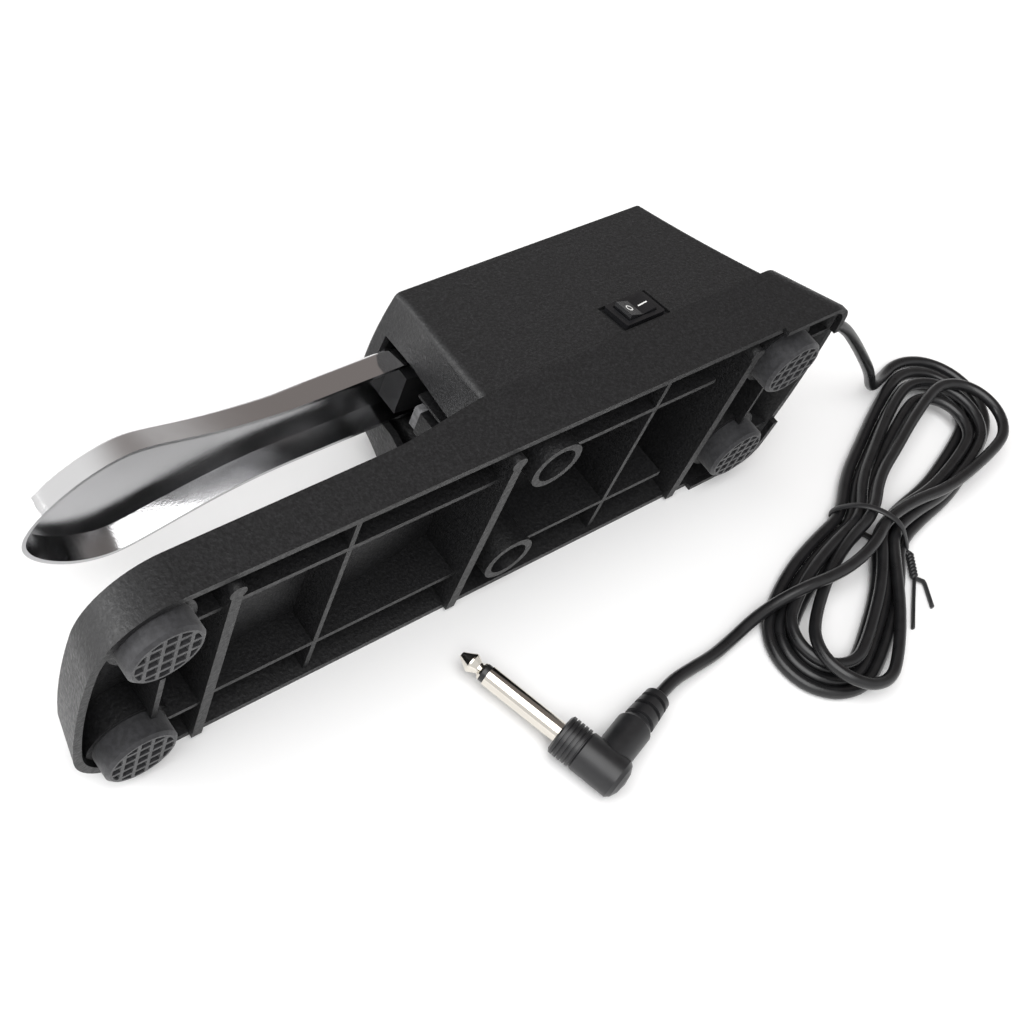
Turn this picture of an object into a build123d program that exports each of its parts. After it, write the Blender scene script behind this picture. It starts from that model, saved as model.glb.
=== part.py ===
from build123d import *
import os
from math import cos, radians, sin, tan

# Piano-style sustain pedal with its lead and a right-angle 6.35 mm jack plug. Millimetres.
# The pedal's own pieces are drawn as it stands in use: x runs from the toe end to the cord end,
# y across, z up from the base's rim. PLACE then lays it on its side, as it rests here: row +X is
# still toe to cord, row +Y is the pedal's own up, and row +Z is up from the floor.
# The cord, its hank and the plug lie on the floor and are drawn in the row's frame directly.

# Base
BASE_LENGTH = 257.0
BASE_WIDTH = 80.0
HALF = BASE_WIDTH / 2
WALL = 2.3
FRONT_BOW = 4.5
REAR_BOW = 3.0
FRONT_CORNER_R = 22.0
REAR_CORNER_R = 9.0
SIDE_DRAFT = 5.4
FRONT_SLOPE = 0.22
REAR_SLOPE = 0.476
LOFT_TOP = 24.0
DECK_FRONT = 12.8
DECK_STEP_X = (92.0, 130.0)
DECK_STEP_Z = (14.5, 18.8)
DECK_REAR = 21.0

# Feet
FOOT_DROP = 5.4
FOOT_FACE_R = 9.8
FOOT_BODY_R = 10.4
FOOT_BOSS_R = 12.0
FOOT_SEAT = 2.0
FOOT_AT = {"foot_front_a": (18.3, -26.1), "foot_front_b": (18.3, 26.1),
           "foot_rear_a": (234.7, -21.9), "foot_rear_b": (234.7, 21.9)}
FOOT_STUD_R = 3.0
CELL = 2.9
CELL_PITCH = 3.9
CELL_DEPTH = 1.0

# Housing
HOUSING_TOP = 64.8
HOUSING_FOOT_Z = 18.0
HOUSING_WALL = 2.4
HOUSING_HALF_FOOT = 37.6
HOUSING_HALF_TOP = 27.7
HOUSING_FRONT = 125.6
HOUSING_FRONT_TOP = 132.2
VISOR_Z = 47.0
VISOR_BOW = 4.5
SIDE_LEAN = (HOUSING_HALF_FOOT - HOUSING_HALF_TOP) / (HOUSING_TOP - HOUSING_FOOT_Z)
SLOT_HALF = 15.0
SLOT_TOP = 60.5
POST_AT = (141.3, 23.3)
RING_R = 8.5
RING_BORE = 6.2
RING_DROP = 1.8
REAR_SCREW_X = 227.6
REAR_SCREW_Y = 21.9

# Lever and its pivot
PIVOT = (196.0, 44.0)
PIN_R = 2.5
RUN_GAP = 0.05
SHEET = 1.2
LEVER_TOP = 58.0
LEVER_EDGE = 50.0
LEVER_REAR = 150.0
TOE_TIP = 14.5
CARRIER_HALF = 8.0
HUB_R = 8.0
STOP_TOP = 39.0
PAD_TOP = 41.8
SPRING_X = 165.0
SPRING_R = 5.4
SPRING_WIRE = 1.2

# Switches
SWITCH_X = (174.0, 187.0)
SWITCH_Y = (-18.5, -12.0)
SWITCH_Z = (24.0, 31.0)
PLUNGER_X = 184.0
PLUNGER_TOP = 34.3
ROCKER_X = 188.3
ROCKER_Z = 26.6
ROCKER_PIVOT = 1.0
ROCKER_TILT = 4.0

# Cord and plug, in the row's frame
CORD_DIA = 4.0
CORD_R = CORD_DIA / 2
EXIT_Y = -16.5
EXIT_Z = 6.0
PLUG_TIP = (-13.3, -47.3)
PLUG_HEADING = -73.0
PLUG_LIE = 6.6
SHAFT_R = 3.175
BAND_R = 2.8
ROOT_R = 2.5

PLACE = Pos(-BASE_LENGTH / 2, -(HOUSING_TOP - FOOT_DROP) / 2, HALF) * Rot(-90, 0, 0)
EXIT = (253.4 - BASE_LENGTH / 2, EXIT_Z - (HOUSING_TOP - FOOT_DROP) / 2, HALF - EXIT_Y)


def box(x0, x1, y0, y1, z0, z1):
    """Block between two corners."""
    middle = Pos((x0 + x1) / 2, (y0 + y1) / 2, (z0 + z1) / 2)
    return middle * Box(x1 - x0, y1 - y0, z1 - z0)


def upright(x, y, z0, z1, radius):
    """Cylinder along z."""
    return Pos(x, y, (z0 + z1) / 2) * Cylinder(radius, z1 - z0)


def crosswise(x, z, y0, y1, radius):
    """Cylinder along y."""
    return Pos(x, (y0 + y1) / 2, z) * Rot(90, 0, 0) * Cylinder(radius, y1 - y0)


def lengthwise(y, z, x0, x1, radius):
    """Cylinder along x."""
    return Pos((x0 + x1) / 2, y, z) * Rot(0, 90, 0) * Cylinder(radius, x1 - x0)


def side_prism(points, y0, y1):
    """Polygon of (x, z) points, extruded across from y0 to y1."""
    face = make_face(Polyline(*points, close=True))
    return Pos(0, y1, 0) * extrude(Plane.XZ * face, y1 - y0)


def base_outline(z, inset=0.0):
    """Plan of the base at a height above the rim, with bowed ends and rounded corners."""
    front = FRONT_SLOPE * z + inset
    rear = BASE_LENGTH - REAR_SLOPE * z - inset
    half = HALF - tan(radians(SIDE_DRAFT)) * z - inset
    left = ThreePointArc((front + FRONT_BOW, -half), (front, 0), (front + FRONT_BOW, half))
    right = ThreePointArc((rear - REAR_BOW, half), (rear, 0), (rear - REAR_BOW, -half))
    top = Line(left @ 1, right @ 0)
    bottom = Line(right @ 1, left @ 0)
    plan = make_face(left + top + right + bottom)
    plan = fillet(plan.vertices().group_by(Axis.X)[0], FRONT_CORNER_R - inset)
    plan = fillet(plan.vertices().group_by(Axis.X)[-1], REAR_CORNER_R - inset)
    return Pos(0, 0, z) * plan


def deck_block(drop=0.0, depth=60.0):
    """Everything under the deck's upper surface, which steps up towards the housing."""
    start = (-20.0, DECK_FRONT - drop)
    low = (DECK_STEP_X[0], DECK_STEP_Z[0] - drop)
    high = (DECK_STEP_X[1], DECK_STEP_Z[1] - drop)
    end = (BASE_LENGTH + 20.0, DECK_REAR + 0.5 - drop)
    step = Bezier(low, (low[0] + 12.0, low[1] + 0.3), (high[0] - 12.0, high[1] - 0.3), high)
    edge = Line(start, low) + step + Line(high, end)
    sides = Polyline(end, (end[0], -depth), (start[0], -depth), start)
    return Pos(0, 60, 0) * extrude(Plane.XZ * make_face(edge + sides), 120)


def base_body(inset=0.0, drop=0.0):
    """Solid outer form of the base, or its cavity when inset."""
    form = loft([base_outline(0.0, inset), base_outline(LOFT_TOP, inset)], ruled=True)
    return form & deck_block(drop)


def rib_room():
    """Space that ribs may fill: the base's form and a little below its rim."""
    below = extrude(base_outline(0.0, 1.3), -3.0)
    return base_body(0.4) + below


def base_ribs():
    """Thick ribs with rounded ends, thin ribs, and the short ones at both ends."""
    ribs = Part()
    for x in (38.2, 124.5, 215.5):
        ribs += box(x - 1.6, x + 1.6, -33.5, 42.0, -1.6, 20.0)
        ribs += upright(x, -33.5, -1.6, 20.0, 2.4)
    for x in (74.8, 181.8):
        ribs += box(x - 0.8, x + 0.8, -39.0, 39.0, 1.5, 20.0)
    for side in (-1, 1):
        ribs += box(38.2, 124.5, side * 23.2 - 0.9, side * 23.2 + 0.9, 1.5, 20.0)
        ribs += box(141.3, 206.0, side * 23.2 - 0.9, side * 23.2 + 0.9, 1.5, 20.0)
    ribs += box(27.0, 38.2, -24.8, -23.2, 1.0, 14.0)
    ribs += box(21.9, 23.5, -4.0, 21.8, -0.6, 14.0)
    ribs += box(22.7, 38.2, 20.2, 21.8, -0.6, 14.0)
    ribs += box(233.9, 235.1, -10.6, 12.0, -0.4, 20.0)
    ribs += box(244.7, 255.0, 21.2, 22.8, 0.6, 20.0)
    ribs += box(244.7, 255.0, -26.1, -24.5, 0.6, 20.0)
    return ribs & rib_room()


def base_skirt():
    """Rim of the two rear corners, which reaches a little lower than the rest."""
    ring = base_outline(0.0, 0.0) - base_outline(0.0, 1.9)
    ring = extrude(ring, -1.9)
    floor_side = box(225.0, 260.0, 20.0, 41.0, -2.0, 0.0)
    far_side = box(225.0, 260.0, -41.0, -26.0, -2.0, 0.0)
    return (ring & floor_side) + (ring & far_side)


def base_shell():
    """Base tray with everything that is moulded on it."""
    shell = base_body() - base_body(WALL, WALL)
    shell += base_ribs()
    shell += base_skirt()
    for x, y in FOOT_AT.values():
        shell += upright(x, y, FOOT_SEAT, 20.0, FOOT_BOSS_R) & base_body(0.4)
        shell -= upright(x, y, FOOT_SEAT - 3.0, FOOT_SEAT, FOOT_BODY_R + 0.4)
    for side in (-1, 1):
        ring = upright(POST_AT[0], side * POST_AT[1], -RING_DROP, 18.0, RING_R)
        shell += ring
        shell -= upright(POST_AT[0], side * POST_AT[1], -RING_DROP - 1.0, 9.0, RING_BORE)
        shell -= upright(POST_AT[0], side * POST_AT[1], 8.0, 25.0, 1.9)
        shell -= upright(REAR_SCREW_X, side * REAR_SCREW_Y, 0.0, 25.0, 1.9)
        shell -= upright(REAR_SCREW_X, side * REAR_SCREW_Y, 0.0, 4.6, 3.2)
    for x, y in FOOT_AT.values():
        shell -= upright(x, y, FOOT_SEAT - 1.0, FOOT_SEAT + 4.0, FOOT_STUD_R)
    shell += stop_post()
    shell += pivot_posts()
    shell += upright(SPRING_X, 0, 17.0, 21.5, 8.0)
    shell += upright(SPRING_X, 0, 21.0, 25.5, SPRING_R - SPRING_WIRE / 2 - 0.5)
    shell -= lengthwise(EXIT_Y, EXIT_Z, 221.5, 260.0, CORD_R + 0.6)
    shell -= lengthwise(EXIT_Y, EXIT_Z, 246.0, 260.0, 3.6)
    shell -= lengthwise(EXIT_Y, EXIT_Z, 246.0, 250.4, 4.8)
    shell -= upright(218.9, EXIT_Y, 0.0, 25.0, 2.2) - box(210, 217.1, -30, 0, 0, 30)
    return shell


def stop_post():
    """Post under the lever for the down stop, and the thin fin beside it."""
    post = box(129.5, 136.0, -4.4, 4.4, 17.5, STOP_TOP)
    fin = box(129.5, 145.0, -9.6, -8.6, 17.5, 42.0)
    return post + fin


def pivot_posts():
    """Two posts that carry the ends of the pivot pin."""
    posts = Part()
    for side in (-1, 1):
        inner, outer = sorted((side * 9.6, side * 14.0))
        leg = side_prism([(186, 18.5), (206, 18.5), (201.5, PIVOT[1]), (190.5, PIVOT[1])], inner, outer)
        leg += crosswise(PIVOT[0], PIVOT[1], inner, outer, 5.5)
        posts += leg - crosswise(PIVOT[0], PIVOT[1], inner - 1, outer + 1, PIN_R)
    return posts


def foot(x, y):
    """Rubber foot with a shoulder, a waffle of square cells in its face, and a stud into the base."""
    body = upright(x, y, -FOOT_DROP, FOOT_SEAT, FOOT_BODY_R)
    face = body.faces().sort_by(Axis.Z)[0]
    body = chamfer(face.edges(), FOOT_BODY_R - FOOT_FACE_R + 0.3)
    cells = Part()
    for row in range(-2, 3):
        for column in range(-2, 3):
            corner = Pos(x + row * CELL_PITCH, y + column * CELL_PITCH, -FOOT_DROP)
            cells += corner * Box(CELL, CELL, 2 * CELL_DEPTH)
    body -= cells & upright(x, y, -FOOT_DROP - 2.0, FOOT_SEAT, FOOT_FACE_R - 1.0)
    stud = upright(x, y, FOOT_SEAT, FOOT_SEAT + 3.6, FOOT_STUD_R - 0.05)
    return body + stud


def housing_front_room(inset):
    """Room behind the housing's front wall: flat below, and bowed forward above the visor line."""
    lean = (HOUSING_FRONT_TOP - HOUSING_FRONT) / (HOUSING_TOP - HOUSING_FOOT_Z)
    visor_x = HOUSING_FRONT + lean * (VISOR_Z - HOUSING_FOOT_Z) + inset
    foot_x = HOUSING_FRONT - lean * 20.0 + inset
    low = side_prism([(foot_x, -2.0), (visor_x, VISOR_Z), (260, VISOR_Z), (260, -2.0)], -60, 60)
    back = Polyline((visor_x, -60), (260, -60), (260, 60), (visor_x, 60))
    lower = Pos(0, 0, VISOR_Z) * make_face(back + Line((visor_x, 60), (visor_x, -60)))
    bow_r = (HOUSING_HALF_TOP**2 + VISOR_BOW**2) / (2 * VISOR_BOW)
    nose = HOUSING_FRONT_TOP - VISOR_BOW + inset
    side = nose + bow_r - (bow_r**2 - 60.0**2) ** 0.5
    back = Polyline((side, -60), (260, -60), (260, 60), (side, 60))
    upper = Pos(0, 0, HOUSING_TOP) * make_face(back + ThreePointArc((side, 60), (nose, 0), (side, -60)))
    return low + loft([lower, upper], ruled=True)


def housing_form(inset=0.0):
    """Tapered form of the housing, before the deck is cut away under it."""
    top = HOUSING_TOP - inset
    wide = HOUSING_HALF_FOOT - inset + SIDE_LEAN * HOUSING_FOOT_Z
    narrow = HOUSING_HALF_TOP - inset + SIDE_LEAN * inset
    ends = make_face(Polyline((-wide, 0), (wide, 0), (narrow, top), (-narrow, top), close=True))
    across = Pos(280, 0, 0) * extrude(Plane.YZ * ends, -180)
    rear = Spline((227.0 - inset, HOUSING_TOP), (231.4 - inset, 43.2), (238.3 - inset, HOUSING_FOOT_Z))
    front = Polyline((238.3 - inset, HOUSING_FOOT_Z), (242.0 - inset, 8.0), (100, 8.0), (100, HOUSING_TOP))
    roof = Line((100, HOUSING_TOP), (227.0 - inset, HOUSING_TOP))
    side = Pos(0, 60, 0) * extrude(Plane.XZ * make_face(rear + front + roof), 120)
    return across & side & housing_front_room(inset)


def rocker_plane():
    """Plane on the sloping wall where the polarity switch sits, its normal pointing out."""
    y = -(HOUSING_HALF_FOOT - SIDE_LEAN * (ROCKER_Z - HOUSING_FOOT_Z))
    lean = (1 + SIDE_LEAN**2) ** 0.5
    return Plane(origin=(ROCKER_X, y, ROCKER_Z), x_dir=(1, 0, 0), z_dir=(0, -1 / lean, SIDE_LEAN / lean))


def upper_housing():
    """Tapered cover with the lever's slot, screw posts and the polarity switch's recess."""
    outer = housing_form()
    corners = outer.edges().filter_by(lambda e: is_corner(e))
    outer = fillet(corners, 2.2)
    roof_edges = outer.faces().sort_by(Axis.Z)[-1].edges()
    outer = fillet(roof_edges, 0.8)
    shell = outer - housing_form(HOUSING_WALL)
    for side in (-1, 1):
        shell += upright(POST_AT[0], side * POST_AT[1], 10.0, 63.0, 4.0) & housing_form(0.8)
        shell += upright(REAR_SCREW_X, side * REAR_SCREW_Y, 10.0, 40.0, 3.4) & housing_form(0.8)
    shell -= deck_block(0.0)
    for side in (-1, 1):
        shell -= upright(POST_AT[0], side * POST_AT[1], 10.0, 36.0, 1.5)
        shell -= upright(REAR_SCREW_X, side * REAR_SCREW_Y, 10.0, 34.0, 1.5)
    slot = [(-SLOT_HALF, SLOT_TOP), (SLOT_HALF, SLOT_TOP), (SLOT_HALF, 45.0), (17.5, 25.0), (17.5, 5.0),
            (-17.5, 5.0), (-17.5, 25.0), (-SLOT_HALF, 45.0)]
    opening = make_face(Polyline(*slot, close=True))
    shell -= Pos(136, 0, 0) * extrude(Plane.YZ * opening, -20)
    recess = rocker_plane() * Box(18.5, 11.4, 2.4)
    well = rocker_plane() * Box(12.8, 8.6, 12.0)
    return shell - recess - well


def is_corner(edge):
    """True for the slanting edges between the housing's end walls and side walls."""
    a = edge @ 0
    b = edge @ 1
    return min(abs(a.Y), abs(b.Y)) > 20 and abs(a.Y - b.Y) > 0.5 and a.Y * b.Y > 0 and abs(a.Z - b.Z) > 2


def lever_outline(grow, z, inset=0.0):
    """Plan of the lever: straight shank and a rounded toe, spread by grow at its widest."""
    shank = 13.2 + 0.3 * grow
    points = [(104.0, shank), (87.6, 13.1 + 0.5 * grow), (69.0, 15.5 + 0.7 * grow)]
    points += [(50.4, 19.6 + 1.0 * grow), (41.1, 20.9 + 1.0 * grow), (31.8, 18.2 + 1.2 * grow)]
    points += [(22.5, 12.6 + 1.2 * grow), (TOE_TIP - 0.8 * grow, 0)]
    moved = []
    for number, (x, y) in enumerate(points):
        before = Vector(*points[max(number - 1, 0)])
        after = Vector(*points[number + 1]) if y else before * -1 + Vector(2 * before.X, 0)
        normal = (after - before).normalized().rotate(Axis.Z, -90)
        if number == 0:
            normal = Vector(0, 1)
        moved.append((x - inset * normal.X, y - inset * normal.Y if y else 0))
    moved += [(x, -y) for x, y in reversed(moved[:-1])]
    toe = Spline(*moved, tangents=[(-1, 0), (1, 0)])
    shank_lines = Polyline(toe @ 1, (LEVER_REAR, inset - shank), (LEVER_REAR, shank - inset), toe @ 0)
    return Pos(0, 0, z) * make_face(toe + shank_lines)


def pedal_lever():
    """Pressed steel lever: a plate with a flange all round that flares outwards."""
    outer = loft([lever_outline(2.3, LEVER_EDGE), lever_outline(0.0, LEVER_TOP)], ruled=True)
    crown = outer.faces().sort_by(Axis.Z)[-1].edges().filter_by(lambda e: (e @ 0.5).X < LEVER_REAR - 1)
    outer = fillet(crown, 1.6)
    inner_low = lever_outline(2.5, LEVER_EDGE - 0.6, SHEET)
    inner = loft([inner_low, lever_outline(0.0, LEVER_TOP - SHEET, SHEET)], ruled=True)
    inner += box(LEVER_REAR - 4, LEVER_REAR + 4, -13.2 + SHEET, 13.2 - SHEET, 40.0, LEVER_TOP - SHEET)
    lever = outer - inner
    for x in (136.0, 145.0):
        lever -= upright(x, 0, 50.0, 60.0, 1.7)
    return lever


def carrier_profile():
    """Side view of the arm between the lever and the pivot."""
    points = [(130.5, LEVER_TOP - SHEET), (151.0, LEVER_TOP - SHEET), (190.0, 51.2), (196.0, 51.9)]
    points += [(203.9, 44.0), (196.0, 36.1), (190.0, 37.6), (158.0, 45.6), (130.5, 48.9)]
    return points


def lever_carrier():
    """Moulded arm that holds the lever and turns on the pivot, with a tab for the snap switch."""
    arm = side_prism(carrier_profile(), -CARRIER_HALF, CARRIER_HALF)
    arm += crosswise(PIVOT[0], PIVOT[1], -CARRIER_HALF, CARRIER_HALF, HUB_R)
    arm += box(180.0, 186.4, -17.0, -7.5, 34.5, 38.0) + box(181.0, 186.4, -8.0, -6.0, 34.5, 44.0)
    arm -= upright(SPRING_X, 0, 30.0, 47.0, SPRING_R + SPRING_WIRE / 2 + 0.6)
    arm += upright(SPRING_X, 0, 44.0, 48.0, SPRING_R + SPRING_WIRE / 2 + 0.5)
    arm -= crosswise(PIVOT[0], PIVOT[1], -9, 9, 4.0)
    for x in (136.0, 145.0):
        arm -= upright(x, 0, 49.5, 60.0, 1.5)
    for y0, y1 in ((-6.5, -1.0), (1.0, 6.5)):
        arm -= side_prism([(156, 50.5), (186, 47.0), (186, 44.0), (172, 46.5), (156, 49.5)], y0, y1)
    return arm


def pivot_bush(side):
    """Flanged bush pressed into one end of the carrier's hub."""
    inner, outer = sorted((side * 1.0, side * (CARRIER_HALF + 1.2)))
    bush = crosswise(PIVOT[0], PIVOT[1], *sorted((side * 1.0, side * CARRIER_HALF)), 4.0)
    bush += crosswise(PIVOT[0], PIVOT[1], *sorted((side * CARRIER_HALF, side * (CARRIER_HALF + 1.2))), 5.6)
    return bush - crosswise(PIVOT[0], PIVOT[1], inner - 1, outer + 1, PIN_R + RUN_GAP)


def screw(x, y, head_z, tip_z, shank_r, head_r, head_h):
    """Pan-head screw along z with a cross recess; the head is on the head_z side."""
    way = 1 if tip_z > head_z else -1
    low, high = sorted((head_z, head_z + way * head_h))
    body = upright(x, y, low, high, head_r)
    low, high = sorted((head_z + way * head_h, tip_z))
    body += upright(x, y, low, high, shank_r)
    for turn in (0, 90):
        body -= Pos(x, y, head_z) * Rot(0, 0, turn) * Box(head_r * 1.3, 0.6, 1.6)
    return body


def lever_screws():
    """Two screws through the lever's plate into the carrier."""
    return [screw(x, 0, LEVER_TOP + 1.3, 50.2, 1.45, 2.8, 1.3) for x in (136.0, 145.0)]


def housing_screws():
    """Two screws in the ring bosses and two under the rear feet."""
    screws = []
    for side in (-1, 1):
        screws.append(screw(POST_AT[0], side * POST_AT[1], 7.0, 30.0, 1.45, 3.6, 2.0))
        screws.append(screw(REAR_SCREW_X, side * REAR_SCREW_Y, 2.6, 30.0, 1.45, 3.0, 2.0))
    return screws


def return_spring():
    """Compression spring under the carrier, at its pressed length."""
    path = Pos(SPRING_X, 0, 22.2) * Helix(pitch=2.9, height=17.4, radius=SPRING_R)
    start = path @ 0
    heading = path % 0
    coil = sweep(Plane(origin=start, z_dir=heading) * Circle(SPRING_WIRE / 2), path=path)
    return coil


def micro_switch_body():
    """Snap switch case with the well for its plunger and two cross holes."""
    case = box(*SWITCH_X, *SWITCH_Y, *SWITCH_Z)
    middle = sum(SWITCH_Y) / 2
    case -= box(PLUNGER_X - 1.3, PLUNGER_X + 1.3, middle - 1.6, middle + 1.6, 27.5, 32.0)
    for x in (176.5, 181.0):
        case -= crosswise(x, 26.4, -19.0, -11.0, 1.05)
    for x in (175.5, 180.5, 185.5):
        case += box(x - 0.25, x + 0.25, middle - 1.0, middle + 1.0, 22.2, SWITCH_Z[0])
    return case


def micro_switch_plunger():
    """Plunger of the snap switch."""
    middle = sum(SWITCH_Y) / 2
    return box(PLUNGER_X - 1.15, PLUNGER_X + 1.15, middle - 1.45, middle + 1.45, 29.2, PLUNGER_TOP)


def switch_bracket():
    """Bent steel bracket that holds the snap switch up from the deck."""
    plate = box(172.0, 187.5, -19.7, -18.5, 20.1, 30.0)
    plate += box(172.0, 179.0, -19.7, -10.0, 20.1, 21.3)
    for x in (176.5, 181.0):
        plate -= crosswise(x, 26.4, -21.0, -17.0, 1.05)
    return plate


def switch_screws():
    """Two small screws through the snap switch into its bracket."""
    screws = []
    for x in (176.5, 181.0):
        body = crosswise(x, 26.4, -20.2, -11.0, 1.0)
        body += crosswise(x, 26.4, -12.0, -10.6, 1.9)
        screws.append(body)
    return screws


def rocker_frame():
    """Bezel and body of the polarity switch."""
    place = rocker_plane()
    bezel = Pos(0, 0, -0.2) * Box(15.0, 10.2, 2.0)
    bezel = fillet(bezel.edges().filter_by(Axis.Z), 0.8)
    body = Pos(0, 0, -5.6) * Box(12.4, 8.2, 8.8)
    well = Pos(0, 0, 0.2) * Box(11.0, 7.2, 8.0)
    return place * (bezel + body - well)


def rocker_button():
    """Rocker with two slanting halves that meet at a shallow valley, tipped to one side."""
    half_length = 5.0
    points = [(-half_length, 2.1), (0, 1.0), (half_length, 2.1), (half_length, -1.2), (2.4, -3.0)]
    points += [(-2.4, -3.0), (-half_length, -1.2)]
    side = make_face(Polyline(*points, close=True))
    button = Pos(0, 3.4, 0) * extrude(Plane.XZ * side, 6.8)
    button += Pos(0, 0, -ROCKER_PIVOT) * Rot(90, 0, 0) * Cylinder(0.9, 7.1)
    tipped = Pos(0, 0, -ROCKER_PIVOT) * Rot(0, ROCKER_TILT, 0) * Pos(0, 0, ROCKER_PIVOT)
    return rocker_plane() * tipped * button


def rocker_terminals():
    """Solder lugs at the back of the polarity switch."""
    return [rocker_plane() * Pos(x, 0, -11.2) * Box(0.6, 2.6, 2.4) for x in (-4.4, 0, 4.4)]


def rest_stop_felt():
    """Felt under the housing's roof that stops the lever on its way up."""
    return box(151.5, 160.0, -7.0, 7.0, 57.3, HOUSING_TOP - HOUSING_WALL)


def down_stop_pad():
    """Pad on top of the stop post."""
    pad = box(129.7, 135.8, -4.2, 4.2, STOP_TOP, PAD_TOP)
    return fillet(pad.edges().filter_by(Axis.Z), 0.8)


def cord_grommet():
    """Collar round the lead where it leaves the base, held in the wall."""
    collar = lengthwise(EXIT_Y, EXIT_Z, 248.0, 258.4, 3.5)
    collar += lengthwise(EXIT_Y, EXIT_Z, 248.0, 250.0, 4.6)
    collar = collar - lengthwise(EXIT_Y, EXIT_Z, 240.0, 262.0, CORD_R)
    return collar


def cord_inner():
    """Stretch of the lead inside the base."""
    return lengthwise(EXIT_Y, EXIT_Z, 219.0, 258.4, CORD_R)


def row_point(x, y, z):
    """A point of the upright pedal, in the row's frame."""
    return Vector(x - BASE_LENGTH / 2, z - (HOUSING_TOP - FOOT_DROP) / 2, HALF - y)


def tube(name, points, radius):
    """Round tube along straight runs joined by tangent arcs, each as large as its runs allow."""
    points = [Vector(*p) for p in points]
    radii = []
    for a, b, c in zip(points, points[1:], points[2:]):
        turn = radians((b - a).get_angle(c - b))
        shorter = min((b - a).length, (c - b).length)
        radii.append(0.45 * shorter / tan(turn / 2))
    path = FilletPolyline(*points, radius=radii)
    section = Plane(origin=path @ 0, z_dir=path % 0) * Circle(radius)
    solid = sweep(section, path=path)
    expected = 3.14159 * radius**2 * path.length
    print(f"{name}: length {path.length:.1f}, volume {solid.volume / expected:.4f} of its section's, radii",
          " ".join(f"{r:.0f}" for r in radii))
    return solid


def cord_lead():
    """Lead from the collar down to the hank on the floor."""
    start = row_point(258.4, EXIT_Y, EXIT_Z)
    route = [start, start + Vector(8.5, 0, 0), start + Vector(17.0, -1.2, -5.0)]
    route += [start + Vector(25.5, -3.2, -13.5), start + Vector(35.0, -5.2, -24.0)]
    route += [start + Vector(45.0, -7.0, -35.5), (182.6, -31.4, 9.2)]
    return tube("cord_lead", route, CORD_R)


def hank_solid():
    """Outer shape of the folded hank: two lobes that are pulled in at the tie."""
    outline = [(136, -63), (158, -48), (178, -34), (200, -23), (217, -25), (228, -42), (230, -58), (220, -71)]
    outline += [(196, -77), (170, -80), (149, -85.5), (132, -102), (112, -117), (92, -120), (76, -112)]
    outline += [(73, -95), (84, -84), (110, -73)]
    plan = make_face(Polyline(*outline, close=True))
    plan = fillet(plan.vertices(), 5.0)
    hank = extrude(plan, 11.0)
    tie_groove = Pos(142.5, -74.5, 1.2) * Rot(0, 0, -59) * Box(60, 4.0, 2.6)
    return hank - tie_groove


def cord_tail():
    """Lead from the hank to the plug's strain relief."""
    start, heading = plug_point(51.3, 31.0), plug_across()
    route = [start, start + heading * 7.0, (48.5, -84.6, 5.2), (59.0, -84.2, 3.4)]
    route += [(69.5, -82.6, 3.0), (79.0, -81.0, 4.6), (88.5, -80.6, 6.6)]
    return tube("cord_tail", route, CORD_R)


def plug_along():
    """Direction of the plug's shaft, from its tip to its head."""
    return Vector(cos(radians(PLUG_HEADING)), sin(radians(PLUG_HEADING)), 0)


def plug_across():
    """Direction in which the lead leaves the plug's head, square to the shaft."""
    return Vector(-sin(radians(PLUG_HEADING)), cos(radians(PLUG_HEADING)), 0)


def plug_point(along, across):
    """Point on the floor beside the plug: distance from its tip, and sideways towards the lead."""
    return Vector(PLUG_TIP[0], PLUG_TIP[1], PLUG_LIE) + plug_along() * along + plug_across() * across


def turned(profile):
    """Solid of revolution about the plug's shaft, from (distance from tip, radius) points."""
    face = make_face(Polyline(*profile, close=True))
    solid = revolve(face, Axis.X, 360)
    return Pos(*plug_point(0, 0)) * Rot(0, 0, PLUG_HEADING) * solid


def plug_tip():
    """Tip contact: a cone, a waist and a collar."""
    return turned([(0, 0), (0.3, 0.9), (3.9, 3.1), (4.4, 3.1), (6.4, 1.9), (7.0, 1.9), (7.6, 2.6), (8.3, 2.9),
                   (8.3, 0)])


def plug_insulator():
    """Insulating band between the tip and the sleeve."""
    return turned([(8.3, 0), (8.3, BAND_R), (9.9, BAND_R), (9.9, 0)])


def plug_sleeve():
    """Sleeve contact, with a thinner root inside the head."""
    return turned([(9.9, 0), (9.9, SHAFT_R), (36.0, SHAFT_R), (36.0, ROOT_R), (40.0, ROOT_R), (40.0, 0)])


def plug_head():
    """Moulded drum round the shaft: rings at both ends and a domed far end."""
    profile = [(36.0, 0), (36.0, 5.4)]
    start = 36.6
    for number in range(5):
        profile += [(start + 1.4 * number, 6.3), (start + 1.4 * number + 0.9, 6.3)]
        profile += [(start + 1.4 * number + 1.0, 5.7), (start + 1.4 * number + 1.3, 5.7)]
    profile += [(44.0, 6.3), (56.6, 6.4), (57.8, 5.4), (58.8, 3.2), (59.2, 0)]
    solid = turned(profile)
    return solid - turned([(30.0, 0), (30.0, ROOT_R), (40.0, ROOT_R), (40.0, 0)])


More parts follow.
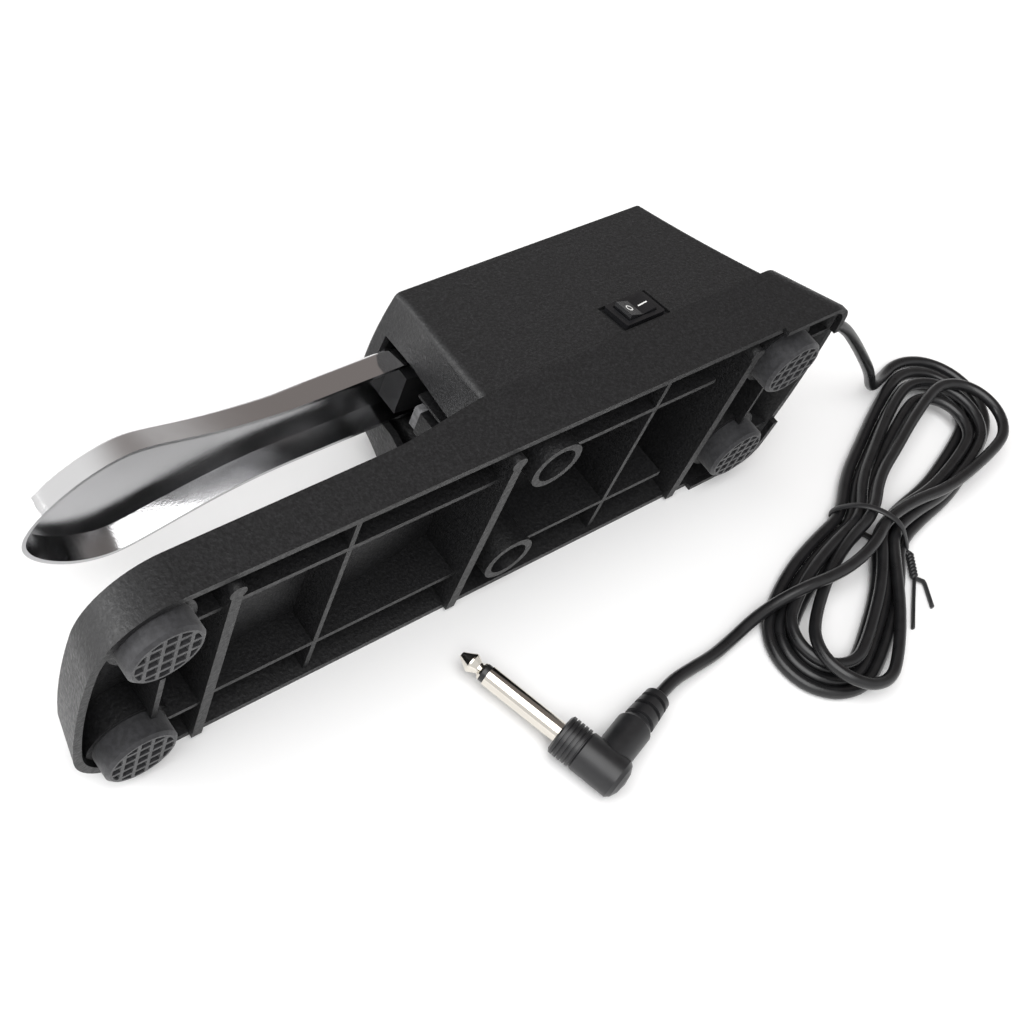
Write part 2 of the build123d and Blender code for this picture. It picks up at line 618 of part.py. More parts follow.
def plug_boot():
    """Square-on boot with a shoulder and a grooved strain relief for the lead."""
    profile = [(0.0, 0), (0.0, 5.6), (17.0, 5.6), (19.0, 4.4), (19.4, 3.9), (19.9, 3.9), (20.2, 4.8), (23.2, 4.6),
               (23.5, 3.5), (24.3, 3.5), (24.6, 4.5), (27.0, 4.3), (27.3, 3.3), (28.0, 3.3), (28.3, 4.2),
               (30.4, 4.0), (31.0, 3.4), (31.0, 0)]
    face = make_face(Polyline(*profile, close=True))
    solid = revolve(face, Axis.X, 360)
    solid = Pos(*plug_point(51.3, 0)) * Rot(0, 0, PLUG_HEADING + 90) * solid
    return solid - turned([(30.0, 0), (30.0, 6.4), (70.0, 6.4), (70.0, 0)])


def twist_tie():
    """Wire tie round the hank's waist, with its twisted ends."""
    middle = Pos(142.5, -74.5, 0) * Rot(0, 0, -59)
    loop = RectangleRounded(33.0, 14.6, 3.0) - RectangleRounded(28.6, 11.4, 1.8)
    band = extrude(Plane.XZ * loop, 1.2, both=True)
    return middle * Pos(0, 0, 7.3) * band


def export(name, shape):
    """Write one node's STEP."""
    if isinstance(shape, list):
        shape = Compound(children=shape)
    export_step(shape, f"parts/{name}.step")


os.makedirs("parts", exist_ok=True)

PEDAL_PIECES = {
    "base_shell": base_shell,
    "upper_housing": upper_housing,
    "pedal_lever": pedal_lever,
    "lever_carrier": lever_carrier,
    "pivot_bush_a": lambda: pivot_bush(-1),
    "pivot_bush_b": lambda: pivot_bush(1),
    "pivot_pin": lambda: crosswise(PIVOT[0], PIVOT[1], -14.0, 14.0, PIN_R),
    "lever_screws": lever_screws,
    "housing_screws": housing_screws,
    "return_spring": return_spring,
    "rest_stop_felt": rest_stop_felt,
    "down_stop_pad": down_stop_pad,
    "micro_switch_body": micro_switch_body,
    "micro_switch_plunger": micro_switch_plunger,
    "switch_bracket": switch_bracket,
    "switch_screws": switch_screws,
    "rocker_frame": rocker_frame,
    "rocker_button": rocker_button,
    "rocker_terminals": rocker_terminals,
    "cord_grommet": cord_grommet,
    "cord_inner": cord_inner,
}
for foot_name, (foot_x, foot_y) in FOOT_AT.items():
    PEDAL_PIECES[foot_name] = lambda x=foot_x, y=foot_y: foot(x, y)

FLOOR_PIECES = {
    "cord_lead": cord_lead,
    "cord_hank": hank_solid,
    "cord_tail": cord_tail,
    "twist_tie": twist_tie,
    "plug_tip": plug_tip,
    "plug_insulator": plug_insulator,
    "plug_sleeve": plug_sleeve,
    "plug_head": plug_head,
    "plug_boot": plug_boot,
}

for piece, make in PEDAL_PIECES.items():
    made = make()
    if isinstance(made, list):
        export(piece, [PLACE * one for one in made])
    else:
        export(piece, PLACE * made)

for piece, make in FLOOR_PIECES.items():
    export(piece, make())
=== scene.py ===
from math import asin, atan2, cos, hypot, pi, radians, sin

import bmesh
import bpy
from mathutils import Matrix, Vector


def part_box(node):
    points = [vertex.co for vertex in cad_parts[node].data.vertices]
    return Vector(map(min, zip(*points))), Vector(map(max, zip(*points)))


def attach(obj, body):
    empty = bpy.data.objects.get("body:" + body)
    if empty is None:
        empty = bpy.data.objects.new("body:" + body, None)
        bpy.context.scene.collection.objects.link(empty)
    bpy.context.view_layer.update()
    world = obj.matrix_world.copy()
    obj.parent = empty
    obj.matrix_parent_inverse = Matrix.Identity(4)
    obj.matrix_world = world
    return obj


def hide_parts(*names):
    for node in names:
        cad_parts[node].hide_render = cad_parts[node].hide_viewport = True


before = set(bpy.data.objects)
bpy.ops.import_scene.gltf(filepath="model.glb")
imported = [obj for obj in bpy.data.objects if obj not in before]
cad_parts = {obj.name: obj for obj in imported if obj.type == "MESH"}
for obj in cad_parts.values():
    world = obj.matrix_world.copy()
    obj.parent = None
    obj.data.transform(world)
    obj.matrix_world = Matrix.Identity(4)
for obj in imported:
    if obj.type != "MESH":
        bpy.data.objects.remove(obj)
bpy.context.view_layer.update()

# A piano-style sustain pedal that lies on its side, with its lead tied in a hank and its jack plug.
# Everything is in the frame's own metres: +X from the toe to the cord end, +Y the pedal's own up,
# +Z up from the floor. Sizes written in millimetres go through mm().

MM = 0.001


def mm(*values):
    """A point given in millimetres, in metres."""
    return Vector(values) * MM


# ---------------------------------------------------------------- camera and stage

CAMERA_AT = (-0.2419, -0.1781, 0.3999)
CAMERA_RIGHT = (0.76035, -0.58372, 0.28484)
CAMERA_UP = (0.36162, 0.74474, 0.56089)
LENS = 58.0
SENSOR = 36.0
NEAREST, FURTHEST = 0.01, 20.0
FLOOR_HALF = 3.0
FLOOR_SHADE = 0.90
FLOOR_ROUGH = 0.9
FLOOR_SPECULAR = 0.1
WHITE = (1.0, 1.0, 1.0, 1.0)
WORLD_STRENGTH = 0.80
# The side of the surroundings that is darker, where that starts and ends as cosines, and its shade.
DARK_TOWARDS = (0.50, 0.34, 0.80)
DARK_EDGES = (0.45, 0.92)
DARK_SHADE = (0.25, 0.225, 0.215)
LIGHTS_AIM = (0.03, -0.02, 0.03)
# Each light's name, place, size and power.
LIGHTS = [
    ("overhead", (-0.55, -0.25, 1.5), (1.6, 1.8), 30.0),
    ("toe_side", (-1.3, 0.9, 0.5), (0.9, 0.7), 14.0),
]


def make_camera():
    """Camera above the toe end that looks down along the pedal."""
    data = bpy.data.cameras.new("camera")
    data.lens = LENS
    data.sensor_width = SENSOR
    data.clip_start = NEAREST
    data.clip_end = FURTHEST
    camera = bpy.data.objects.new("camera", data)
    right, up = Vector(CAMERA_RIGHT).normalized(), Vector(CAMERA_UP).normalized()
    back = right.cross(up)
    turn = Matrix((right, up, back)).transposed().to_4x4()
    camera.matrix_world = Matrix.Translation(CAMERA_AT) @ turn
    bpy.context.scene.collection.objects.link(camera)
    bpy.context.scene.camera = camera


def add_light(name, place, size, power):
    """Soft rectangular light at a place, facing the object."""
    data = bpy.data.lights.new(name, "AREA")
    data.shape = "RECTANGLE"
    data.size, data.size_y = size
    data.energy = power
    light = bpy.data.objects.new(name, data)
    light.location = place
    light.rotation_mode = "QUATERNION"
    light.rotation_quaternion = (Vector(LIGHTS_AIM) - Vector(place)).to_track_quat("-Z", "Y")
    bpy.context.scene.collection.objects.link(light)


def make_lights():
    """Pale surroundings that darken beyond the cord end, and the soft lights."""
    world = bpy.data.worlds.new("studio")
    world.use_nodes = True
    tree = world.node_tree
    background = tree.nodes["Background"]
    background.inputs["Strength"].default_value = WORLD_STRENGTH
    towards = tree.nodes.new("ShaderNodeVectorMath")
    towards.operation = "DOT_PRODUCT"
    towards.inputs[1].default_value = DARK_TOWARDS
    tree.links.new(tree.nodes.new("ShaderNodeTexCoord").outputs["Generated"], towards.inputs[0])
    shades = tree.nodes.new("ShaderNodeValToRGB")
    shades.color_ramp.interpolation = "EASE"
    for stop, edge, colour in zip(shades.color_ramp.elements, DARK_EDGES, (WHITE, (*DARK_SHADE, 1.0))):
        stop.position = edge
        stop.color = colour
    tree.links.new(towards.outputs["Value"], shades.inputs["Fac"])
    tree.links.new(shades.outputs["Color"], background.inputs["Color"])
    bpy.context.scene.world = world
    for light in LIGHTS:
        add_light(*light)
    bpy.context.scene.view_settings.view_transform = "Standard"


def make_floor():
    """Plain pale floor under the object."""
    work = bmesh.new()
    corners = [(-1, -1), (1, -1), (1, 1), (-1, 1)]
    work.faces.new([work.verts.new((x * FLOOR_HALF, y * FLOOR_HALF, 0.0)) for x, y in corners])
    mesh = bpy.data.meshes.new("floor")
    work.to_mesh(mesh)
    work.free()
    floor = bpy.data.objects.new("floor", mesh)
    bpy.context.scene.collection.objects.link(floor)
    material = bpy.data.materials.new("floor_paper")
    material.use_nodes = True
    shader = material.node_tree.nodes["Principled BSDF"]
    shader.inputs["Base Color"].default_value = (FLOOR_SHADE, FLOOR_SHADE, FLOOR_SHADE, 1.0)
    shader.inputs["Roughness"].default_value = FLOOR_ROUGH
    shader.inputs["Specular IOR Level"].default_value = FLOOR_SPECULAR
    mesh.materials.append(material)


make_camera()
make_lights()
make_floor()

# ---------------------------------------------------------------- materials


# Sockets of the mix node, which are only told apart by number.
MIX_SHARE = 0
MIX_FLOATS, MIX_FLOAT_OUT = (2, 3), 0
MIX_COLOURS, MIX_COLOUR_OUT = (6, 7), 2
DETAIL = 3.0
# The lever's hidden side, which gets a painted shade in its colour as well as a duller, pitted finish,
# is told by the way its faces look:
# how much a face that looks down counts beside one that looks in towards the middle, and the sum at
# which the painted shade and dull finish are full.
UNDER_WEIGHT = 0.02
SHADE_AND_DULL_EDGE = -0.006


def scaled(colour, times, lift=0.0):
    """A colour with each channel multiplied, then lifted."""
    return tuple(channel * times + lift for channel in colour)


class Surface:
    """A node-built material: a principled shader with noises that vary its colour, gloss and relief."""

    def __init__(self, name, colour, rough, metallic=0.0, specular=0.5):
        self.material = bpy.data.materials.new(name)
        self.material.use_nodes = True
        self.tree = self.material.node_tree
        self.shader = self.tree.nodes["Principled BSDF"]
        self.colour = colour
        self.rough = rough
        self.set("Base Color", (*colour, 1.0))
        self.set("Roughness", rough)
        self.set("Metallic", metallic)
        self.set("Specular IOR Level", specular)
        self.place = self.tree.nodes.new("ShaderNodeTexCoord").outputs["Object"]
        self.relief = None

    def set(self, socket, value):
        """Sets one of the shader's own inputs."""
        self.shader.inputs[socket].default_value = value

    def link(self, source, target):
        """Joins an output to an input."""
        self.tree.links.new(source, target)

    def node(self, kind, **values):
        """A new node with its settings and unlinked inputs filled in."""
        made = self.tree.nodes.new(kind)
        for key, value in values.items():
            if key in made.inputs:
                made.inputs[key].default_value = value
            else:
                setattr(made, key, value)
        return made

    def noise(self, size, detail=DETAIL, stretch=None):
        """Noise whose features are about size metres across, stretched along an axis if asked."""
        source = self.node("ShaderNodeTexNoise", Scale=1.0 / size, Detail=detail)
        place = self.place
        if stretch:
            drawn_out = self.node("ShaderNodeMapping", Scale=stretch)
            self.link(place, drawn_out.inputs["Vector"])
            place = drawn_out.outputs["Vector"]
        self.link(place, source.inputs["Vector"])
        return source.outputs["Fac"]

    def ramp(self, source, low, high, edges=(0.35, 0.65)):
        """Maps a source between two edges to a value between low and high."""
        fitted = self.node("ShaderNodeMapRange")
        for key, value in zip(("From Min", "From Max", "To Min", "To Max"), (*edges, low, high)):
            fitted.inputs[key].default_value = value
        self.link(source, fitted.inputs["Value"])
        return fitted.outputs["Result"]

    def math(self, operation, *terms):
        """Sum, difference or product of outputs and numbers."""
        made = self.node("ShaderNodeMath", operation=operation)
        for socket, term in zip(made.inputs, terms):
            if isinstance(term, float):
                socket.default_value = term
            else:
                self.link(term, socket)
        return made.outputs[0]

    def mix_colours(self, share, first, second):
        """Colour that goes from the first to the second with the share."""
        mix = self.node("ShaderNodeMix", data_type="RGBA")
        self.link(share, mix.inputs[MIX_SHARE])
        for socket, colour in zip(MIX_COLOURS, (first, second)):
            mix.inputs[socket].default_value = (*colour, 1.0)
        return mix.outputs[MIX_COLOUR_OUT]

    def mix_values(self, share, first, second):
        """Value that goes from the first output to the second with the share."""
        mix = self.node("ShaderNodeMix", data_type="FLOAT")
        self.link(share, mix.inputs[MIX_SHARE])
        for socket, value in zip(MIX_FLOATS, (first, second)):
            self.link(value, mix.inputs[socket])
        return mix.outputs[MIX_FLOAT_OUT]

    def vary_gloss(self, size, spread, stretch=None):
        """Roughness that wanders around its middle value."""
        low, high = max(0.0, self.rough - spread), self.rough + spread
        value = self.ramp(self.noise(size, stretch=stretch), low, high)
        self.link(value, self.shader.inputs["Roughness"])
        return self

    def vary_colour(self, size, other, edges=(0.4, 0.6)):
        """Colour that wanders towards another one."""
        share = self.ramp(self.noise(size), 0.0, 1.0, edges)
        self.link(self.mix_colours(share, self.colour, other), self.shader.inputs["Base Color"])
        return self

    def bump(self, size, depth, detail=2.0, stretch=None):
        """Fine relief; each call adds one more layer on top of the last."""
        made = self.node("ShaderNodeBump", Distance=depth, Strength=1.0)
        self.link(self.noise(size, detail, stretch), made.inputs["Height"])
        if self.relief:
            self.link(self.relief, made.inputs["Normal"])
        self.relief = made.outputs["Normal"]
        self.link(self.relief, self.shader.inputs["Normal"])
        return self


def spark_plastic(name, colour, rough):
    """Black ABS with a spark-eroded grain."""
    made = Surface(name, colour, rough, specular=0.36).vary_gloss(0.0012, 0.07)
    made.vary_colour(0.0008, scaled(colour, 2.2), (0.45, 0.75))
    return made.bump(0.0011, 0.00016).bump(0.0005, 0.00006, 3.0)


def smooth_plastic(name, colour, rough):
    """Moulded plastic with faint flow marks."""
    made = Surface(name, colour, rough).vary_gloss(0.006, 0.05)
    made.vary_colour(0.01, scaled(colour, 1.2, 0.002))
    return made.bump(0.003, 0.00003)


def rubber(name, colour, rough):
    """Dull rubber with a powdery look."""
    made = Surface(name, colour, rough, specular=0.35).vary_gloss(0.002, 0.08)
    made.set("Sheen Weight", 0.15)
    made.set("Sheen Roughness", 0.5)
    made.vary_colour(0.0015, scaled(colour, 1.5))
    return made.bump(0.0005, 0.00005, 3.0)


def soft_pvc(name, colour, rough):
    """Satin flexible PVC."""
    made = Surface(name, colour, rough).vary_gloss(0.004, 0.03)
    made.vary_colour(0.004, scaled(colour, 1.25))
    return made.bump(0.0022, 0.000012)


def plated(name, colour, rough, wave=0.00002, smudge=0.03):
    """Polished plating with faint waviness and smudges."""
    made = Surface(name, colour, rough, metallic=1.0).vary_gloss(0.012, smudge)
    made.vary_colour(0.02, scaled(colour, 0.93))
    return made.bump(0.006, wave, 1.0)


def chrome(name, colour, rough, painted_shade_colour):
    """Bright chrome outside; on the lever's hidden side a greyer colour that is painted shade, and a
    duller, pitted finish.
    """
    low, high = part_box("pedal_lever")
    made = Surface(name, colour, rough, metallic=1.0)
    facing = made.node("ShaderNodeSeparateXYZ")
    made.link(made.node("ShaderNodeTexCoord").outputs["Normal"], facing.inputs[0])
    spot = made.node("ShaderNodeSeparateXYZ")
    made.link(made.place, spot.inputs[0])
    aside = made.math("SUBTRACT", spot.outputs["Z"], (low.z + high.z) / 2)
    inward = made.math("MULTIPLY", aside, facing.outputs["Z"])
    under = made.math("MULTIPLY", facing.outputs["Y"], UNDER_WEIGHT)
    # share is 1 on the lever's hidden side: it drives the painted shade there as well as the dull,
    # pitted finish.
    share = made.ramp(made.math("ADD", inward, under), 1.0, 0.0, (SHADE_AND_DULL_EDGE, 0.0))
    # Painted shade: the hidden side's colour is greyed towards the second colour.
    made.link(made.mix_colours(share, colour, painted_shade_colour), made.shader.inputs["Base Color"])
    bright = made.ramp(made.noise(0.012), 0.03, 0.08)
    dull = made.ramp(made.noise(0.02), 0.12, 0.22)
    made.link(made.mix_values(share, bright, dull), made.shader.inputs["Roughness"])
    made.bump(0.006, 0.00002, 1.0)
    pits = made.node("ShaderNodeBump", Distance=0.00002)
    made.link(made.noise(0.0006), pits.inputs["Height"])
    made.link(share, pits.inputs["Strength"])
    made.link(made.relief, pits.inputs["Normal"])
    made.link(pits.outputs["Normal"], made.shader.inputs["Normal"])
    return made


def worked_steel(name, colour, rough, stretch):
    """Steel with fine marks along one direction."""
    made = Surface(name, colour, rough, metallic=1.0).vary_gloss(0.0006, 0.08, stretch)
    made.vary_colour(0.003, scaled(colour, 0.8))
    return made.bump(0.0004, 0.00002, 2.0, stretch)


def felt(name, colour):
    """Wool felt with short fibres."""
    made = Surface(name, colour, 0.95, specular=0.1)
    made.set("Sheen Weight", 0.6)
    made.vary_colour(0.0006, scaled(colour, 2.2))
    return made.bump(0.0004, 0.0002, 4.0, (1.0, 3.0, 1.0))


# Each finish: its maker, its colour and further values, and the CAD nodes that wear it.
FINISHES = {
    "base_plastic": (spark_plastic, (0.0078, 0.0078, 0.0083), 0.46, ["base_shell"]),
    "housing_plastic": (spark_plastic, (0.0092, 0.0092, 0.0097), 0.44, ["upper_housing"]),
    # The lever's second colour is painted shade for its inward- and under-facing side.
    "lever_chrome": (chrome, (0.86, 0.855, 0.86), 0.05, (0.55, 0.55, 0.56), ["pedal_lever"]),
    "carrier_plastic": (smooth_plastic, (0.012, 0.012, 0.013), 0.42, ["lever_carrier"]),
    "foot_rubber": (rubber, (0.022, 0.022, 0.024), 0.62,
                    ["foot_front_a", "foot_front_b", "foot_rear_a", "foot_rear_b"]),
    "pad_rubber": (rubber, (0.16, 0.16, 0.165), 0.75, ["down_stop_pad"]),
    "felt": (felt, (0.02, 0.02, 0.022), ["rest_stop_felt"]),
    "steel": (worked_steel, (0.60, 0.60, 0.62), 0.30, (1.0, 1.0, 0.1), ["pivot_pin", "switch_bracket"]),
    "screw_zinc": (worked_steel, (0.62, 0.62, 0.65), 0.32, (1.0, 0.2, 1.0),
                   ["lever_screws", "housing_screws", "switch_screws"]),
    "spring_steel": (worked_steel, (0.45, 0.45, 0.47), 0.28, (1.0, 0.2, 1.0), ["return_spring"]),
    "bush_nylon": (smooth_plastic, (0.66, 0.64, 0.58), 0.45, ["pivot_bush_a", "pivot_bush_b"]),
    "switch_body": (smooth_plastic, (0.018, 0.018, 0.020), 0.45, ["micro_switch_body"]),
    "switch_plunger": (smooth_plastic, (0.36, 0.02, 0.016), 0.40, ["micro_switch_plunger"]),
    "rocker_black": (smooth_plastic, (0.007, 0.007, 0.008), 0.26, ["rocker_frame", "rocker_button"]),
    "brass_lug": (plated, (0.70, 0.55, 0.30), 0.25, ["rocker_terminals"]),
    "cord_pvc": (soft_pvc, (0.0085, 0.0085, 0.0092), 0.30, ["cord_inner"]),
    "grommet_pvc": (soft_pvc, (0.010, 0.010, 0.011), 0.42, ["cord_grommet"]),
    "tie_pvc": (soft_pvc, (0.010, 0.010, 0.011), 0.45, []),
    "plug_nickel": (plated, (0.80, 0.76, 0.69), 0.12, 0.00001, 0.04, ["plug_tip", "plug_sleeve"]),
    "plug_band": (smooth_plastic, (0.010, 0.010, 0.010), 0.35, ["plug_insulator"]),
    "plug_moulding": (soft_pvc, (0.012, 0.012, 0.013), 0.40, ["plug_head", "plug_boot"]),
}
SURFACES = {name: maker(name, *values) for name, (maker, *values, _) in FINISHES.items()}
PRINT = Surface("rocker_print", (0.72, 0.72, 0.70), 0.5).vary_gloss(0.001, 0.08).bump(0.0003, 0.00001)


def dress_nodes():
    """Gives every CAD node its finish."""
    for surface, (*_, nodes) in FINISHES.items():
        for node in nodes:
            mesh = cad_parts[node].data
            mesh.materials.clear()
            mesh.materials.append(SURFACES[surface].material)


def keep(piece, body, surface):
    """Finishes a new piece: its material and the body it rides on."""
    piece.data.materials.append(SURFACES[surface].material)
    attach(piece, body)


dress_nodes()

# ---------------------------------------------------------------- cord

CORD_DIAMETER = 0.004
WAIST = (142.5, -74.5)
WAIST_HEADING = 31.0
# A lobe turns from the tie's heading to its own over this distance, and its straight runs bow by this.
TURN_REACH = 30.0
RUN_BOW = 2.5
RUN_STEPS = 4
FOLD_STEPS = 6
LEAD = [(129.9, -23.7, 56.5), (138.4, -23.7, 56.5), (146.9, -24.9, 51.5), (155.4, -26.9, 43.0),
        (164.9, -28.9, 32.5), (174.9, -30.7, 21.0), (182.6, -31.4, 9.2)]
OVER_HANK = [(133.5, -81.2, 11.4), (122.0, -83.4, 11.0), (111.0, -83.6, 11.0), (99.5, -81.9, 10.3)]
TAIL = [(88.5, -80.6, 6.6), (79.0, -81.0, 4.6), (69.5, -82.6, 3.0), (59.0, -84.2, 3.4),
        (48.5, -84.6, 5.2), (38.04, -85.25, 6.6), (31.35, -87.30, 6.6)]
# Each lobe of the hank, in the order the cord runs through them: which end of the hank, reach from
# the tie, fold radius, sideways shift, heading, places in the tie where it starts and ends, and its
# heights at even steps along it.
FLAT = (3.8, 2.1, 2.1, 2.1, 3.8)
LOBES = [
    ("far", 93, 21.4, 4.5, 20, 13.0, -10.8, FLAT),
    ("near", 70, 19.4, 0.0, 207, -10.8, 10.8, FLAT),
    ("far", 87, 17.2, 4.5, 20, 10.8, -6.5, FLAT),
    ("near", 65.7, 15.4, 0.0, 207, -6.5, 6.5, FLAT),
    ("far", 81, 13.0, 4.3, 20, 6.5, -2.2, FLAT),
    ("near", 61.3, 11.6, -0.4, 207, -2.2, 2.2, FLAT),
    ("far", 72, 12.3, 2.0, 18, 2.2, -2.2, (3.8, 5.6, 6.3, 6.3, 7.8)),
    ("near", 62, 13.0, 1.5, 208, -2.2, 5.0, (7.8, 6.3, 6.3, 6.3, 7.8)),
    ("far", 80, 17.0, 1.5, 19, 5.0, -6.5, (7.8, 6.3, 6.1, 6.3, 7.8)),
    ("near", 66, 15.0, 0.0, 217, -6.5, 2.2, (7.8, 6.3, 6.2, 7.0, 10.3, 9.4, 6.6, 6.9, 11.9)),
    ("far", 83, 15.0, -2.0, 16, 2.2, -2.2, (11.9, 10.6, 10.4, 10.4, 10.2, 10.6, 11.9)),
]
LEAD_JOINS_AT = 4


def between(values, share):
    """Value at a share, 0 to 1, of the way along a list of evenly spaced values."""
    place = min(share, 1.0) * (len(values) - 1)
    first = min(int(place), len(values) - 2)
    return values[first] + (values[first + 1] - values[first]) * (place - first)


def lobe_outline(reach, radius, shift, start, finish):
    """Out from the tie, round a fold and back: points as (out, aside)."""
    middle = (reach - radius, shift)
    slopes = []
    for slot, way in ((start, 1), (finish, -1)):
        rise = middle[1] - slot
        slopes.append(atan2(rise, middle[0]) + way * asin(radius / hypot(middle[0], rise)))
    first, last = slopes[0] + pi / 2, slopes[1] - pi / 2
    fold = []
    for step in range(FOLD_STEPS + 1):
        angle = first + (last - first) * step / FOLD_STEPS
        fold.append((middle[0] + radius * cos(angle), middle[1] + radius * sin(angle)))

    def run(end, slot, slope, way):
        points = []
        for step in range(RUN_STEPS):
            share = step / RUN_STEPS
            bow = way * RUN_BOW * sin(pi * share)
            out = end[0] * share - bow * sin(slope)
            points.append((out, slot + (end[1] - slot) * share + bow * cos(slope)))
        return points

    return run(fold[0], start, slopes[0], 1) + fold + run(fold[-1], finish, slopes[1], -1)[::-1]


def lobe(end, reach, radius, shift, heading, start, finish, heights):
    """One lobe of the hank as points on and above the floor."""
    side = 1 if end == "far" else -1
    straight = WAIST_HEADING if end == "far" else WAIST_HEADING + 180
    outline = lobe_outline(reach, radius, side * shift, side * start, side * finish)
    steps = [0.0]
    for a, b in zip(outline, outline[1:]):
        steps.append(steps[-1] + hypot(b[0] - a[0], b[1] - a[1]))
    points = []
    for (out, aside), step in zip(outline, steps):
        angle = radians(straight + (heading - straight) * min(1.0, out / TURN_REACH))
        x = WAIST[0] + out * cos(angle) - aside * sin(angle)
        y = WAIST[1] + out * sin(angle) + aside * cos(angle)
        points.append((x, y, between(heights, step / steps[-1])))
    return points


def cord_route():
    """Control points of the whole cord, from the pedal to the plug."""
    points = list(LEAD)
    for number, shape in enumerate(LOBES):
        points += lobe(*shape)[LEAD_JOINS_AT if number == 0 else 1:]
    return points + OVER_HANK + TAIL


def make_cord():
    """The lead as one smooth round curve."""
    points = cord_route()
    data = bpy.data.curves.new("lead", "CURVE")
    data.dimensions = "3D"
    data.bevel_depth = CORD_DIAMETER / 2
    data.bevel_resolution = 5
    data.resolution_u = 6
    data.use_fill_caps = True
    line = data.splines.new("NURBS")
    line.points.add(len(points) - 1)
    for target, point in zip(line.points, points):
        target.co = (*mm(*point), 1.0)
    line.order_u = 3
    line.use_endpoint_u = True
    line.use_smooth = True
    cord = bpy.data.objects.new("lead", data)
    bpy.context.scene.collection.objects.link(cord)
    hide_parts("cord_lead", "cord_hank", "cord_tail")
    keep(cord, "base", "cord_pvc")


# ---------------------------------------------------------------- twist tie

BAND_WIDE = 1.2
BAND_THICK = 0.55
WIRE = 0.75
FREE_END_WIDE = 1.0
ALONG = Vector((cos(radians(WAIST_HEADING)), sin(radians(WAIST_HEADING)), 0.0))
ASIDE = Vector((sin(radians(WAIST_HEADING)), -cos(radians(WAIST_HEADING)), 0.0))
# Cross-section of the band round the bundle: (aside, height) in millimetres.
BAND_LOOP = [(0.0, 0.75), (9.0, 0.75), (13.6, 1.1), (14.4, 3.6), (11.0, 8.4), (7.6, 12.6), (3.2, 14.3),
             (-3.0, 14.4), (-8.4, 12.0), (-12.2, 7.8), (-14.4, 3.6), (-13.6, 1.1), (-9.0, 0.75)]
TWIST = ((150.2, -88.2, 2.4), (145.2, -95.6, 2.0))
TWIST_TURNS = 3.5
TWIST_STEPS = 42
STRAND_OUT = 0.72
# Where the twisted strands leave the band: its corner, the height there, and how far apart they start.
LEAVES_AT = 3
LEAVES_HEIGHT = 2.6
LEAVES_APART = 0.8
FREE_ENDS = [[(145.2, -95.6, 2.0), (147.0, -97.4, 1.6), (148.2, -98.2, 1.2), (146.0, -102.4, 1.0),
              (143.6, -106.8, 1.0)],
             [(145.2, -95.6, 2.0), (142.0, -98.8, 1.5), (137.0, -103.6, 1.0), (131.0, -109.2, 1.0)]]


def smooth_line(points, closed=False, steps=6):
    """Quadratic spline through the middles of the runs between points, sampled evenly."""
    line = []
    count = len(points)
    if not closed:
        line.append(points[0].copy())
    for number in range(count if closed else count - 2):
        a, b, c = (points[(number + k) % count] for k in range(3))
        start = (a + b) / 2 if closed or number else a
        end = (b + c) / 2 if closed or number < count - 3 else c
        for step in range(steps):
            t = (step + 1) / steps
            line.append(start * (1 - t) ** 2 + b * 2 * t * (1 - t) + end * t * t)
    return line


def swept(work, line, wide, thick, flat_way, closed=False, sides=12):
    """Adds a tube of oval section along a line to a bmesh, its wide way along flat_way."""
    rings = []
    count = len(line)
    for number, point in enumerate(line):
        before = line[number - 1] if number or closed else point
        after = line[(number + 1) % count] if number < count - 1 or closed else point
        ahead = (after - before).normalized()
        across = (flat_way - ahead * flat_way.dot(ahead)).normalized()
        up = ahead.cross(across)
        ring = []
        for side in range(sides):
            angle = 2 * pi * side / sides
            offset = across * (wide * cos(angle)) + up * (thick * sin(angle))
            ring.append(work.verts.new((point + offset) * MM))
        rings.append(ring)
    pairs = list(zip(rings, rings[1:])) + ([(rings[-1], rings[0])] if closed else [])
    for first, second in pairs:
        for side in range(sides):
            following = (side + 1) % sides
            work.faces.new((first[side], first[following], second[following], second[side]))
    if not closed:
        work.faces.new(rings[0][::-1])
        work.faces.new(rings[-1])


def finish_mesh(work, name, smooth=True):
    """Turns a bmesh into a linked object with outward faces."""
    bmesh.ops.recalc_face_normals(work, faces=work.faces)
    mesh = bpy.data.meshes.new(name)
    work.to_mesh(mesh)
    work.free()
    for polygon in mesh.polygons:
        polygon.use_smooth = smooth
    made = bpy.data.objects.new(name, mesh)
    bpy.context.scene.collection.objects.link(made)
    return made


def make_tie():
    """Coated wire round the waist of the hank, twisted together, with its two free ends."""
    work = bmesh.new()
    middle = Vector((*WAIST, 0.0))
    loop = [middle + ASIDE * aside + Vector((0, 0, height)) for aside, height in BAND_LOOP]
    swept(work, smooth_line(loop, True), BAND_WIDE, BAND_THICK, ALONG, True)
    start, end = Vector(TWIST[0]), Vector(TWIST[1])
    corner = middle + ASIDE * BAND_LOOP[LEAVES_AT][0] + Vector((0, 0, LEAVES_HEIGHT))
    ahead = (end - start).normalized()
    across = Vector((0, 0, 1)).cross(ahead).normalized()
    up = ahead.cross(across)
    for way in (0.0, pi):
        coil = [corner, (corner + start) / 2 + across * LEAVES_APART * cos(way)]
        for step in range(TWIST_STEPS + 1):
            share = step / TWIST_STEPS
            angle = way + share * TWIST_TURNS * 2 * pi
            offset = across * cos(angle) + up * sin(angle)
            coil.append(start + (end - start) * share + offset * STRAND_OUT)
        swept(work, smooth_line(coil, False, 3), WIRE, WIRE, up)
    for points in FREE_ENDS:
        swept(work, smooth_line([Vector(p) for p in points]), FREE_END_WIDE, BAND_THICK, up)
    tie = finish_mesh(work, "hank_tie")
    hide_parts("twist_tie")
    keep(tie, "base", "tie_pvc")
    return tie


# ---------------------------------------------------------------- marks on the rocker

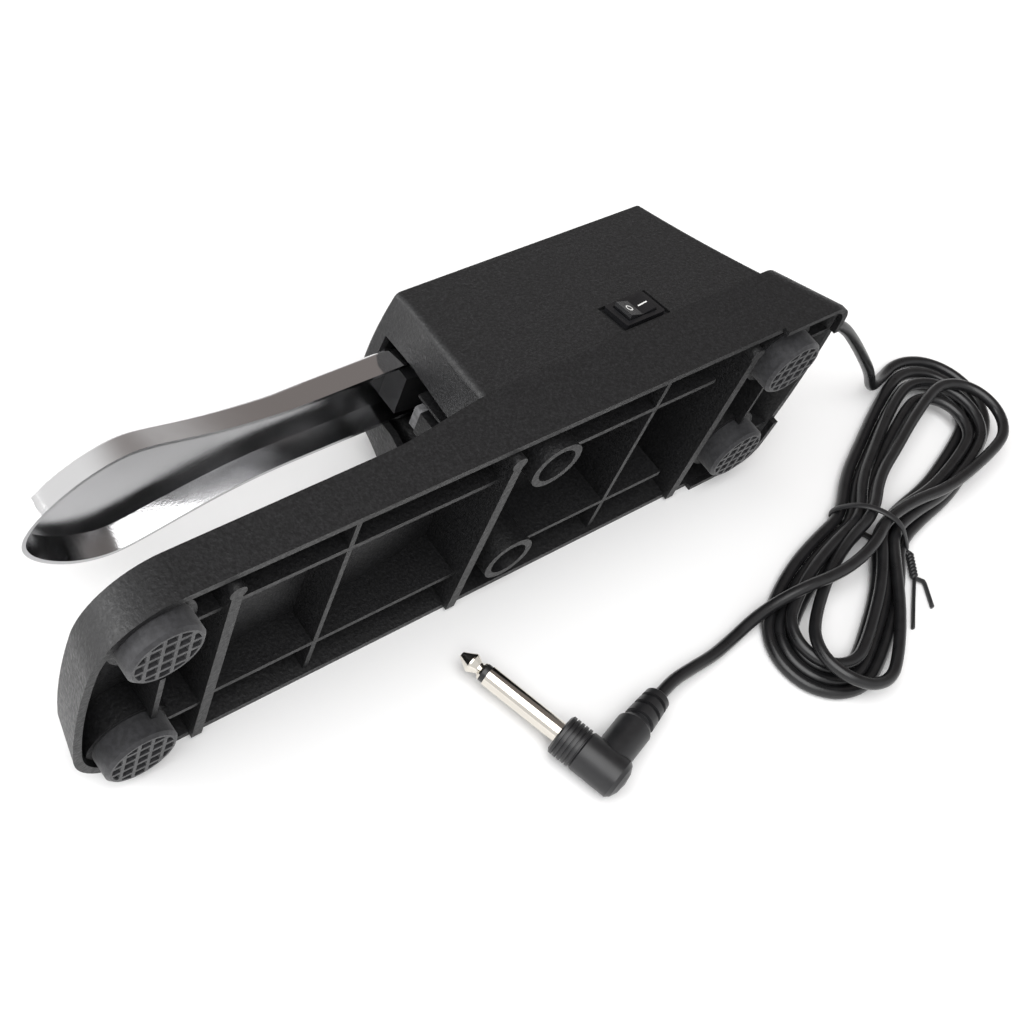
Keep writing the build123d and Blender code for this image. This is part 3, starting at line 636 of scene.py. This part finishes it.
ROCKER_MIDDLE = (59.8, -3.1, 75.78)
ROCKER_OUT = Vector((0.0, 0.20696, 0.97835))
ROCKER_TILT = radians(4.0)
ROCKER_PIVOT = 1.0
HALF_SLOPE = 0.22
HALF_MIDDLE = 2.6
FACE_HEIGHT = 1.0
MARK_LAYERS = (-0.02, 0.05)
RING_RADII = (1.25, 0.85)
RING_SQUASH = 0.85
RING_SIDES = 32
BAR = ((1.0, -0.22), (4.2, -0.22), (4.2, 0.22), (1.0, 0.22))


def rocker_point(along, across, height):
    """Point on the tipped rocker: along its length, across it, and out from its pivot's plane."""
    up = height + ROCKER_PIVOT
    turned = along * cos(ROCKER_TILT) + up * sin(ROCKER_TILT)
    out = up * cos(ROCKER_TILT) - along * sin(ROCKER_TILT) - ROCKER_PIVOT
    right = Vector((1, 0, 0))
    spot = Vector(ROCKER_MIDDLE) + right * turned + ROCKER_OUT.cross(right) * across + ROCKER_OUT * out
    return spot * MM


def face_height(along):
    """Height of the rocker's face, which rises from its middle to both ends."""
    return FACE_HEIGHT + HALF_SLOPE * abs(along)


def raised(work, *outlines):
    """Adds a thin printed shape to a bmesh; a second outline makes it a ring."""
    layers = []
    for lift in MARK_LAYERS:
        layers.append([[work.verts.new(rocker_point(x, y, face_height(x) + lift)) for x, y in line]
                       for line in outlines])
    low, high = layers
    bands = list(zip(low, high))
    if len(outlines) > 1:
        bands += layers
    else:
        for layer in layers:
            work.faces.new(layer[0])
    for first, second in bands:
        for number in range(len(first)):
            following = (number + 1) % len(first)
            work.faces.new((first[number], first[following], second[following], second[number]))


def make_marks():
    """The generic ring and bar that mark the rocker's two ends."""
    rings = []
    for radius in RING_RADII:
        angles = [side * 2 * pi / RING_SIDES for side in range(RING_SIDES)]
        rings.append([(radius * cos(angle) * RING_SQUASH - HALF_MIDDLE, radius * sin(angle))
                      for angle in angles])
    work = bmesh.new()
    raised(work, *rings)
    raised(work, BAR)
    marks = finish_mesh(work, "rocker_marks", False)
    marks.data.materials.append(PRINT.material)
    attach(marks, "rocker")


tie = make_tie()
make_cord()
make_marks()
